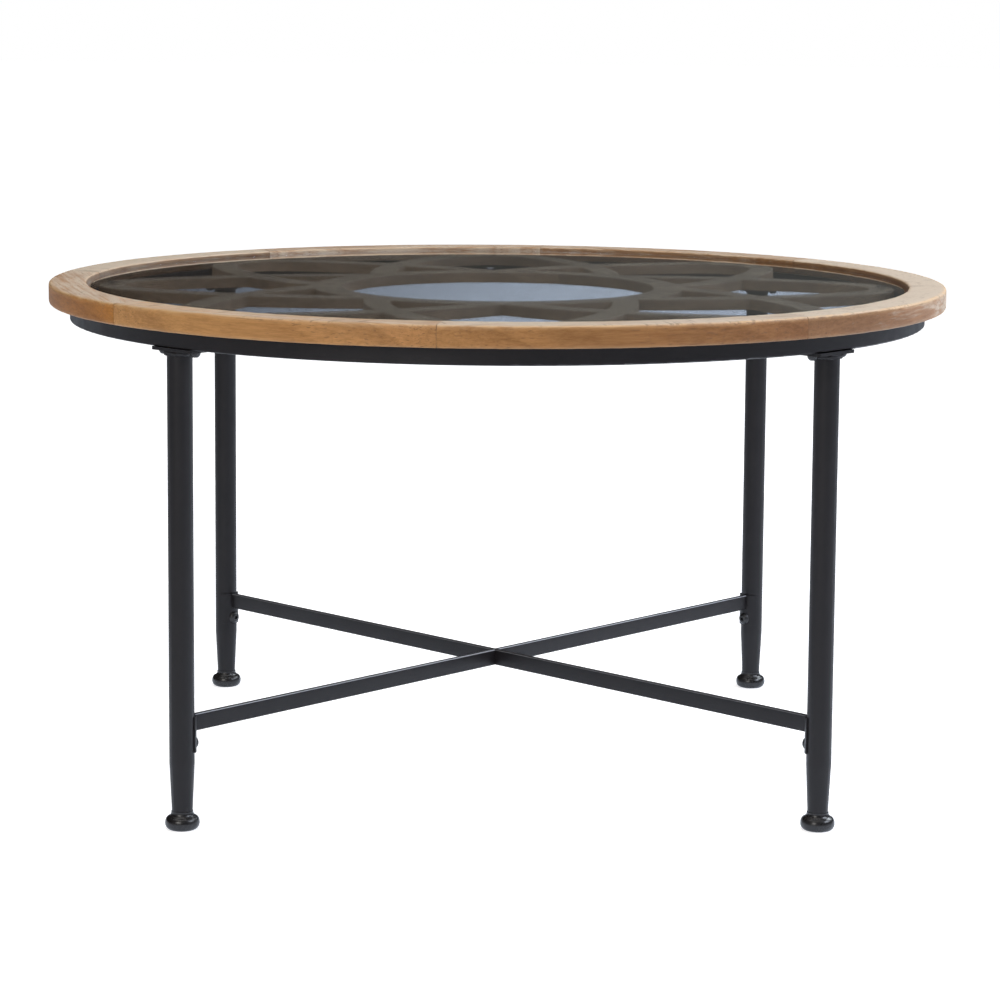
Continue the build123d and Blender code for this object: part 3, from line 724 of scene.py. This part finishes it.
# ---------------------------------------------------------------- glass and its pads
# A sheet of clear float glass, 6 mm thick, cut round and with a polished round edge. It lies
# loose on eight clear soft pads, one on the tip of each petal.

GLASS_R = 0.4165
GLASS_LOW = 0.4859
GLASS_HIGH = 0.4919
GLASS_EDGE = 0.0018
GLASS_EDGE_STEPS = 6
GLASS_SIDES = 256
CLEAR_BENDING = 1.5                # index of refraction, of the glass and of the pads
GLASS_TINT = (0.955, 0.975, 1.0, 1.0)
GLASS_PASSES = (0.93, 0.94, 0.94, 1.0)      # what is left of a lamp's light
PAD_TINT = (0.9, 0.9, 0.9, 1.0)
PAD_PASSES = (0.7, 0.7, 0.7, 1.0)
PAD_ROUGH = 0.12


def clear_finish(name, tint, roughness, lets_through):
    """Clear glass or plastic. Light from lamps goes on through it, as it does in the room."""
    made, tree, shader = new_finish(name)
    shader.inputs["Base Color"].default_value = tint
    shader.inputs["Roughness"].default_value = roughness
    shader.inputs["IOR"].default_value = CLEAR_BENDING
    shader.inputs["Transmission Weight"].default_value = 1.0
    path = node(tree, "LightPath")
    through = node(tree, "BsdfTransparent", Color=lets_through)
    both = node(tree, "MixShader")
    put(tree, both, 0, calc(tree, "MAXIMUM", (path, "Is Shadow Ray"), (path, "Is Diffuse Ray")))
    put(tree, both, 1, (shader, 0))
    put(tree, both, 2, (through, 0))
    put(tree, tree.nodes["Material Output"], "Surface", (both, 0))
    return made


bpy.ops.object.select_all(action="DESELECT")
bpy.ops.mesh.primitive_cylinder_add(
    vertices=GLASS_SIDES, radius=GLASS_R, depth=GLASS_HIGH - GLASS_LOW,
    location=(0, 0, (GLASS_HIGH + GLASS_LOW) / 2))
glass = bpy.context.object
glass.name = glass.data.name = "glass_disc"
bpy.ops.object.transform_apply(location=True, rotation=True, scale=True)
edit(glass)
pick(glass, "EDGE", lambda e: abs(e.verts[0].co.z - e.verts[1].co.z) < SAME)
bpy.ops.mesh.bevel(offset=GLASS_EDGE, segments=GLASS_EDGE_STEPS, affect="EDGES")
pick(glass, "EDGE", lambda e: any(len(f.verts) > 4 for f in e.link_faces))
bpy.ops.mesh.mark_sharp()
done()
bpy.ops.object.shade_smooth()
glass.data.materials.append(clear_finish("clear_glass", GLASS_TINT, 0.0, GLASS_PASSES))
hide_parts("glass_top")
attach(glass, "glass")
dress("glass_pads", clear_finish("pad_gel", PAD_TINT, PAD_ROUGH, PAD_PASSES))


# ---------------------------------------------------------------- black steelwork
# Rolled square ring, round swaged legs, tabs, plates and brackets, welded together and powder coated
# satin black all over. The coat is thin, and its edges are painted a little paler, as a painted
# highlight where they would catch the light.

POWDER_BLACK = (0.0094, 0.0078, 0.0090)
# painted highlight: the colour painted along the sharp edges
POWDER_EDGE_HIGHLIGHT = (0.026, 0.026, 0.029, 1.0)
# painted highlight: the colour painted on the bars' upper arrises, where the lamps on the right would
# glint on them
ARRIS_HIGHLIGHT = (0.42, 0.43, 0.47, 1.0)    # where the bars' upper arrises are rubbed bright
EDGE_WIDTH = 0.0008
EDGE_TURN = (0.985, 0.86)          # cosine of the turn at which an edge starts to show, and is bare
EDGE_SAMPLES = 4
EDGE_BREAKUP = (160.0, 3.0, 0.5)            # waves to a metre, detail and roughness, as of the next one
MOTTLE = (34.0, 4.0, 0.6)
PEEL = (3.0, 0.55)                 # detail and roughness
EDGE_BREAKUP_RANGE = (0.35, 0.60)
EDGE_BREAKUP_TONES = (0.3, 1.0)
MOTTLE_TONES = (0.82, 1.2)
MOTTLE_ROUGH = 0.05                # more or less than the coat's own roughness
PEEL_DEPTH = 0.0002
LEGS = ("back_right", "back_left", "front_left", "front_right")
LEG_ANGLE = 45.0                   # degrees, where the first of them stands


def clouds(tree, place, waves, detail, roughness):
    """Even noise, as a (node, socket) pair."""
    made = node(tree, "TexNoise", Scale=waves, Detail=detail, Roughness=roughness)
    put(tree, made, "Vector", place)
    return made, 0


def make_edge_highlight():
    """A mask for a painted highlight: 1 along sharp edges, broken up, and 0 on the faces."""
    tree, start, end = group_of(
        "painted_edge_highlight", [("Width", "Float"), ("Vector", "Vector")], [("Edge", "Float")])
    flat = node(tree, "NewGeometry")
    rounded = node(tree, "Bevel", samples=EDGE_SAMPLES)
    put(tree, rounded, "Radius", (start, "Width"))
    same = node(tree, "VectorMath", operation="DOT_PRODUCT")
    put(tree, same, 0, (flat, "Normal"))
    put(tree, same, 1, (rounded, 0))
    edge = ramp(tree, (same, "Value"), *EDGE_TURN)
    broken = ramp(tree, clouds(tree, (start, "Vector"), *EDGE_BREAKUP), *EDGE_BREAKUP_RANGE, *EDGE_BREAKUP_TONES)
    put(tree, end, "Edge", calc(tree, "MULTIPLY", edge, broken))
    return tree


EDGE_HIGHLIGHT = make_edge_highlight()


def coat_finish(name, colour, edge_highlight_colour, rough, gloss, peel_waves, relief):
    """Powder coat or black plastic: a fine orange peel, a slight mottle, a painted highlight along the
    edges, and on the bars a painted highlight along their upper arrises.
    """
    made, tree, shader = new_finish(name)
    shader.inputs["Specular IOR Level"].default_value = gloss
    place = (node(tree, "TexCoord"), "Object")
    mottle = clouds(tree, place, *MOTTLE)
    uneven = ramp(tree, mottle, *NOISE_RANGE, smooth=False)
    dark, pale = [tuple(c * tone for c in colour) + (1.0,) for tone in MOTTLE_TONES]
    tone = mixed(tree, uneven, dark, pale)
    edge = placed(tree, EDGE_HIGHLIGHT)
    edge.inputs["Width"].default_value = EDGE_WIDTH
    put(tree, edge, "Vector", place)
    # painted highlight along the sharp edges
    worn = mixed(tree, (edge, "Edge"), tone, edge_highlight_colour)
    # painted highlight on the bars' upper arrises, from their arris attribute
    arris = node(tree, "Attribute", attribute_name="arris")
    put(tree, shader, "Base Color", mixed(tree, (arris, "Fac"), worn, ARRIS_HIGHLIGHT))
    put(tree, shader, "Roughness", ramp(
        tree, mottle, *NOISE_RANGE, rough - MOTTLE_ROUGH, rough + MOTTLE_ROUGH))
    give_relief(tree, shader, clouds(tree, place, peel_waves, *PEEL), relief, PEEL_DEPTH)
    return made


POWDER = coat_finish(
    "powder_coat", POWDER_BLACK, POWDER_EDGE_HIGHLIGHT, rough=0.40, gloss=0.34, peel_waves=700.0, relief=0.50)
for part in ("frame_ring", "lattice_brackets"):
    dress(part, POWDER)
for leg in LEGS:
    for part in (f"leg_{leg}", f"leg_plate_{leg}", f"saddle_tab_{leg}"):
        dress(part, POWDER)


# ---------------------------------------------------------------- weld beads
# A rough bead, laid by hand in steel, joins each leg to the two wings of its plate. It is coated
# with the rest of the frame.

LEG_CIRCLE_R = 0.4262
LEG_TOP = 0.4552
BEAD_MIDDLE = 0.0126
BEAD_R = 0.0026
BEAD_SINK = 0.6                    # of its radius, under the plate
BEAD_SIDES = (120, 14)
BEAD_SMOOTH = math.radians(60)
LUMP_SIZE = 0.0030
LUMP_DEPTH = 0.0022
LUMP_LEVEL = 0.55                  # over a half, so that most lumps are hollows
PLATE_HALF_WIDTH = 0.0120

bpy.ops.object.select_all(action="DESELECT")
bpy.ops.mesh.primitive_torus_add(
    major_segments=BEAD_SIDES[0], minor_segments=BEAD_SIDES[1], major_radius=BEAD_MIDDLE,
    minor_radius=BEAD_R, location=(0, 0, LEG_TOP - BEAD_SINK * BEAD_R))
bead = bpy.context.object
bpy.ops.object.transform_apply(location=True, rotation=True, scale=True)
lumps = bead.modifiers.new("lumps", "DISPLACE")
lumps.texture = bpy.data.textures.new("lumps", "CLOUDS")
lumps.texture.noise_scale = LUMP_SIZE
lumps.texture_coords = "GLOBAL"
lumps.strength = LUMP_DEPTH
lumps.mid_level = LUMP_LEVEL
bpy.ops.object.modifier_apply(modifier="lumps")
edit(bead)
for cut, away in (((0, 0, LEG_TOP), (0, 0, 1)), ((PLATE_HALF_WIDTH, 0, 0), (1, 0, 0)),
                  ((-PLATE_HALF_WIDTH, 0, 0), (-1, 0, 0))):
    bpy.ops.mesh.select_all(action="SELECT")
    bpy.ops.mesh.bisect(plane_co=cut, plane_no=away, use_fill=True, clear_outer=True)
bpy.ops.mesh.select_all(action="SELECT")
bpy.ops.mesh.normals_make_consistent(inside=False)
bpy.ops.transform.translate(value=(LEG_CIRCLE_R, 0, 0))
turn(LEG_ANGLE)
done()
laid = [bead]
while len(laid) < len(LEGS):
    bpy.ops.object.duplicate()
    laid.append(bpy.context.object)
    edit(laid[-1])
    bpy.ops.mesh.select_all(action="SELECT")
    turn(360 / len(LEGS))
    done()
for bead in laid:
    bead.select_set(True)
bpy.ops.object.join()
beads = bpy.context.object
beads.name = beads.data.name = "weld_beads"
bpy.ops.object.shade_smooth_by_angle(angle=BEAD_SMOOTH)
beads.data.materials.append(POWDER)
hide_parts("leg_welds")
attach(beads, "frame")


# ---------------------------------------------------------------- crossed stretcher bars
# Two flat bars on edge, half-lapped where they cross, their ends hollowed to fit the legs' tabs and
# their long edges eased by the rolling mill. A painted highlight lies along their upper arrises,
# stronger on the bar whose face turns to the lamps on the right.

BAR_LOW = 0.0923
BAR_HIGH = 0.1085
BAR_HALF_THICKNESS = 0.0025
BAR_EASING = 0.0010
BAR_EASING_STEPS = 4
BAR_SMOOTH = math.radians(35)
# painted highlight: share of the eased edge, from the top, that is painted bright
BAR_HIGHLIGHT_BAND = (0.02, 0.7)             # share of the eased edge, from the top, that is rubbed bright
TAB_R = 0.0138
TAB_SIDES = 128
TAB_TOOL = 0.05                    # height of the round tool that hollows the ends
LAP_GAP = 0.0001
LAP_TOOL = 0.02                    # size of the block that cuts the lap
LONG_EDGE = 0.02                   # shortest edge that counts as one of a bar's long ones


def cutter(make, **values):
    """A tool for cutting one piece out of another."""
    bpy.ops.object.select_all(action="DESELECT")
    make(**values)
    return bpy.context.object


def cut_away(piece, tool):
    """Cuts the tool's shape out of the piece and throws the tool away."""
    bpy.context.view_layer.objects.active = piece
    cut = piece.modifiers.new("cut", "BOOLEAN")
    cut.operation = "DIFFERENCE"
    cut.solver = "EXACT"
    cut.object = tool
    bpy.ops.object.modifier_apply(modifier="cut")
    bpy.data.objects.remove(tool)


def runs_along(edge):
    """Whether an edge of a bar is one of its long ones."""
    one, other = [v.co for v in edge.verts]
    level = abs(one.z - other.z) < SAME and abs(one.y - other.y) < SAME
    return level and edge.calc_length() > LONG_EDGE


def stretcher(name, direction, from_top, rub):
    """One bar, made along X and turned to its direction; `rub` says how strong the painted highlight
    on its upper arrises is.
    """
    middle = (BAR_LOW + BAR_HIGH) / 2
    bpy.ops.object.select_all(action="DESELECT")
    bpy.ops.mesh.primitive_cube_add(size=1, location=(0, 0, middle))
    bar = bpy.context.object
    bar.name = bar.data.name = name
    bpy.ops.transform.resize(value=(2 * LEG_CIRCLE_R, 2 * BAR_HALF_THICKNESS, BAR_HIGH - BAR_LOW))
    bpy.ops.object.transform_apply(location=True, rotation=True, scale=True)
    for end in (-1, 1):
        cut_away(bar, cutter(
            bpy.ops.mesh.primitive_cylinder_add, vertices=TAB_SIDES, radius=TAB_R, depth=TAB_TOOL,
            location=(end * LEG_CIRCLE_R, 0, middle)))
    reach = LAP_TOOL / 2 if from_top else -LAP_TOOL / 2
    lap = cutter(bpy.ops.mesh.primitive_cube_add, size=LAP_TOOL, location=(0, 0, middle + reach))
    bpy.ops.transform.resize(value=(2 * (BAR_HALF_THICKNESS + LAP_GAP) / LAP_TOOL, 1, 1))
    cut_away(bar, lap)
    edit(bar)
    pick(bar, "EDGE", runs_along)
    bpy.ops.mesh.bevel(offset=BAR_EASING, segments=BAR_EASING_STEPS, affect="EDGES")
    bpy.ops.mesh.select_all(action="SELECT")
    turn(direction)
    done()
    bpy.ops.object.shade_smooth_by_angle(angle=BAR_SMOOTH)
    # painted highlight along the upper arris, as strong as `rub`
    least, most = [BAR_HIGH - share * BAR_EASING for share in reversed(BAR_HIGHLIGHT_BAND)]
    bright = [rub * (least < v.co.z < most) for v in bar.data.vertices]
    bar.data.attributes.new("arris", "FLOAT", "POINT").data.foreach_set("value", bright)
    bar.data.materials.append(POWDER)
    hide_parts(name.replace("flat_bar", "stretcher_bar"))
    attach(bar, "frame")


# the lower bar faces the lamps on the right and gets the stronger painted highlight
stretcher("flat_bar_lower", LEG_ANGLE, from_top=True, rub=1.0)
stretcher("flat_bar_upper", LEG_ANGLE + 90, from_top=False, rub=0.35)


# ---------------------------------------------------------------- foot caps
# Moulded glossy black plastic, pushed over the swaged ends of the legs: a low bun that flares in
# to a thin neck.

FOOT_BASE_R = 0.0115
FOOT_BELLY_R = 0.0164
FOOT_BELLY_Z = 0.0063
FOOT_ROUND = (0.0040, 0.0062)      # half axes of the round over the belly
FOOT_ROUND_TURN = 75.0             # degrees of it before the neck's flare starts
FOOT_NECK_R = 0.0104
FOOT_LIP_Z = 0.0174
FOOT_SOCKET_R = 0.00985
FOOT_SOCKET_Z = 0.0050
FOOT_STEPS = 9                     # rings to each of the three curves
FOOT_SIDES = 72
FOOT_SMOOTH = math.radians(40)
FOOT_BLACK = (0.017, 0.016, 0.017)
# painted highlight along the cap's edges
FOOT_EDGE_HIGHLIGHT = (0.028, 0.028, 0.030, 1.0)


def foot_rings():
    """Radius and height from the sole up to the lip and down into the socket."""
    rings = []
    steps = [(i + 1) / FOOT_STEPS for i in range(FOOT_STEPS)]
    for part in steps:
        swing = math.radians(90 * part)
        rings.append((FOOT_BASE_R + (FOOT_BELLY_R - FOOT_BASE_R) * math.sin(swing),
                      FOOT_BELLY_Z * (1 - math.cos(swing))))
    wide, high = FOOT_ROUND
    last = math.radians(FOOT_ROUND_TURN)
    for part in steps:
        rings.append((FOOT_BELLY_R - wide * (1 - math.cos(last * part)),
                      FOOT_BELLY_Z + high * math.sin(last * part)))
    lean = math.atan2(wide * math.sin(last), high * math.cos(last))
    r, z = rings[-1]
    flare = (r - FOOT_NECK_R) / (1 - math.cos(lean))
    for part in steps:
        swing = lean * (1 - part)
        rings.append((FOOT_NECK_R + flare * (1 - math.cos(swing)),
                      z + flare * (math.sin(lean) - math.sin(swing))))
    lip = [(FOOT_NECK_R, FOOT_LIP_Z), (FOOT_SOCKET_R, FOOT_LIP_Z)]
    return rings + lip + [(FOOT_SOCKET_R, FOOT_SOCKET_Z)]


def foot_cap():
    """The cap of the first leg, raised ring by ring from its round sole."""
    centre = (LEG_CIRCLE_R, 0, 0)
    bpy.ops.object.select_all(action="DESELECT")
    bpy.ops.mesh.primitive_circle_add(
        vertices=FOOT_SIDES, radius=FOOT_BASE_R, fill_type="NGON", location=centre)
    cap = bpy.context.object
    bpy.ops.object.transform_apply(location=True, rotation=True, scale=True)
    edit(cap)
    bpy.ops.mesh.select_all(action="SELECT")
    r, z = FOOT_BASE_R, 0.0
    for wide, high in foot_rings():
        bpy.ops.mesh.extrude_region_move(TRANSFORM_OT_translate={"value": (0, 0, high - z)})
        bpy.ops.transform.resize(value=(wide / r, wide / r, 1), center_override=centre)
        r, z = wide, high
    bpy.ops.mesh.select_all(action="SELECT")
    bpy.ops.mesh.normals_make_consistent(inside=False)
    turn(LEG_ANGLE)
    done()
    return cap


FOOT = coat_finish(
    "foot_plastic", FOOT_BLACK, FOOT_EDGE_HIGHLIGHT, rough=0.27, gloss=0.5, peel_waves=300.0, relief=0.06)
cap = foot_cap()
for leg in LEGS:
    cap.name = cap.data.name = f"foot_cap_{leg}"
    bpy.ops.object.shade_smooth_by_angle(angle=FOOT_SMOOTH)
    cap.data.materials.append(FOOT)
    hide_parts(f"foot_{leg}")
    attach(cap, "frame")
    if leg != LEGS[-1]:
        bpy.ops.object.duplicate()
        cap = bpy.context.object
        cap.data.materials.clear()
        edit(cap)
        bpy.ops.mesh.select_all(action="SELECT")
        turn(360 / len(LEGS))
        done()


# ---------------------------------------------------------------- fasteners
# Black button-head bolts on the outside, where they show; zinc plated screws and nuts and turned
# brass inserts inside.

BOLT_BLACK = (0.014, 0.014, 0.015)
# painted highlight along the bolts' edges
BOLT_EDGE_HIGHLIGHT = (0.05, 0.05, 0.05, 1.0)
CLOUD = (420.0, 2.0, 0.5)          # waves to a metre, detail and roughness
CLOUD_TONE = 0.85
CLOUD_ROUGH = 0.06                 # more or less than the metal's own roughness
CLOUD_RELIEF = 0.1
CLOUD_DEPTH = 0.0001

BLACK_BOLT = coat_finish(
    "black_bolt", BOLT_BLACK, BOLT_EDGE_HIGHLIGHT, rough=0.30, gloss=0.5, peel_waves=600.0, relief=0.12)
for part in ("plate_bolts", "stretcher_bolts"):
    dress(part, BLACK_BOLT)


def metal_finish(name, colour, rough):
    """Plated or turned metal, a little cloudy."""
    made, tree, shader = new_finish(name)
    shader.inputs["Metallic"].default_value = 1.0
    cloud = clouds(tree, (node(tree, "TexCoord"), "Object"), *CLOUD)
    dull = tuple(c * CLOUD_TONE for c in colour) + (1.0,)
    put(tree, shader, "Base Color", mixed(tree, cloud, dull, colour + (1.0,)))
    put(tree, shader, "Roughness", ramp(
        tree, cloud, *NOISE_RANGE, rough - CLOUD_ROUGH, rough + CLOUD_ROUGH))
    give_relief(tree, shader, cloud, CLOUD_RELIEF, CLOUD_DEPTH)
    return made


ZINC = metal_finish("zinc_plate", colour=(0.62, 0.62, 0.63), rough=0.34)
BRASS = metal_finish("brass", colour=(0.72, 0.54, 0.26), rough=0.36)
for part in ("rim_screws", "lattice_screws", "plate_nuts"):
    dress(part, ZINC)
dress("leg_inserts", BRASS)
